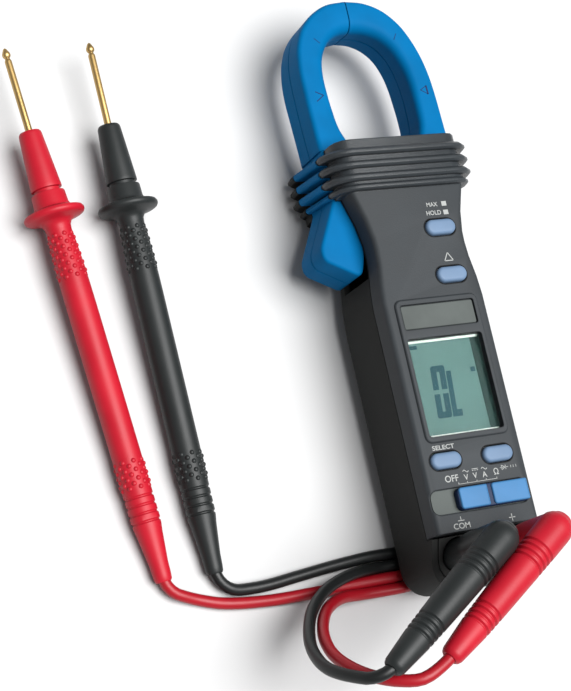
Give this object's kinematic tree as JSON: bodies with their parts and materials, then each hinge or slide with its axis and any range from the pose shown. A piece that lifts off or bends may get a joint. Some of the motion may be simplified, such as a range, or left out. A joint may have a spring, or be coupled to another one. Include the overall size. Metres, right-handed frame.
{
  "type": "clamp meter",
  "caption": "Clamp meter with a sprung jaw and trigger, slide switch, push buttons, display window, and plugged-in test leads with probes.",
  "frame": {"origin": "on the table under the centre of the meter's own bounding box, test leads left out", "axes": "+Y to the jaw tip, +X to the meter's right side seen from the front, +Z out of the front face"},
  "size_m": [0.1458, 0.2168, 0.0638],
  "materials": {
    "case": "fine-textured black moulding",
    "jaw": "satin blue moulding",
    "button": "satin light blue silicone rubber",
    "knob": "satin bright blue",
    "plate": "warm grey, satin",
    "window": "clear polycarbonate",
    "screen": "reflective liquid crystal, grey-green",
    "backlight": "white diffuser",
    "board": "green solder mask",
    "steel": "zinc plated",
    "core": "laminated silicon steel",
    "copper": null,
    "brass": "bright brass",
    "silicone": "grey silicone rubber",
    "cell": "plain printed sleeve",
    "red": "glossy red moulding",
    "black": "glossy black moulding",
    "lead_red": "flexible red insulation",
    "lead_black": "flexible black insulation"
  },
  "bodies": {
    "root": {"battery_contact_bottom": "steel", "battery_contact_top": "steel", "battery_cover": "case", "battery_cover_screw": "steel", "battery_tray": "black", "buzzer": "black", "case_screw_1": "steel", "case_screw_2": "steel", "case_screw_3": "steel", "case_screw_4": "steel", "cell_1": "cell", "cell_2": "cell", "coil_bobbin": "silicone", "coil_winding": "copper", "fixed_core": "core", "fixed_jaw_front": "jaw", "fixed_jaw_rear": "jaw", "front_case": "case", "keypad_mat_lower": "silicone", "keypad_mat_upper": "silicone", "lcd_backlight": "backlight", "lcd_contact_strip": "silicone", "lcd_glass": "screen", "lcd_window": "window", "lead_black_plug": "lead_black", "lead_black_probe": "lead_black", "lead_bundle": "lead_black", "lead_red_plug": "lead_red", "lead_red_probe": "lead_red", "main_board": "board", "nameplate": "plate", "pivot_pin": "steel", "plug_black": "black", "plug_pin_black": "brass", "plug_pin_red": "brass", "plug_red": "red", "probe_black": "black", "probe_red": "red", "probe_tip_black": "brass", "probe_tip_red": "brass", "rear_case": "case", "return_spring": "steel", "slide_plate": "plate", "socket_com": "brass", "socket_plus": "brass", "terminal_block": "black"},
    "lever": {"lever_core": "core", "lever_front": "jaw", "lever_rear": "jaw"},
    "slide": {"slide_carriage": "silicone", "slide_knob": "knob"},
    "hold": {"button_hold": "button"},
    "zero": {"button_zero": "button"},
    "select": {"button_select": "button"},
    "range": {"button_range": "button"}
  },
  "joints": [
    {"name": "jaw_pivot", "type": "hinge", "parent": "root", "child": "lever", "pos_m": [-0.01305, 0.0335, 0.0191], "axis": [0, 0, 1], "range_deg": [0, 20], "stiffness_Nm_per_rad": 0.7, "springref_deg": -22.92},
    {"name": "mode_slide", "type": "slide", "parent": "root", "child": "slide", "axis": [1, 0, 0], "range_m": [-0.0078, 0]},
    {"name": "press_hold", "type": "slide", "parent": "root", "child": "hold", "axis": [0, 0, -1], "range_m": [0, 0.0008], "stiffness_N_per_m": 1500, "springref_m": -0.0004},
    {"name": "press_zero", "type": "slide", "parent": "root", "child": "zero", "axis": [0, 0, -1], "range_m": [0, 0.0008], "stiffness_N_per_m": 1500, "springref_m": -0.0004},
    {"name": "press_select", "type": "slide", "parent": "root", "child": "select", "axis": [0, 0, -1], "range_m": [0, 0.0008], "stiffness_N_per_m": 1500, "springref_m": -0.0004},
    {"name": "press_range", "type": "slide", "parent": "root", "child": "range", "axis": [0, 0, -1], "range_m": [0, 0.0008], "stiffness_N_per_m": 1500, "springref_m": -0.0004}
  ]
}
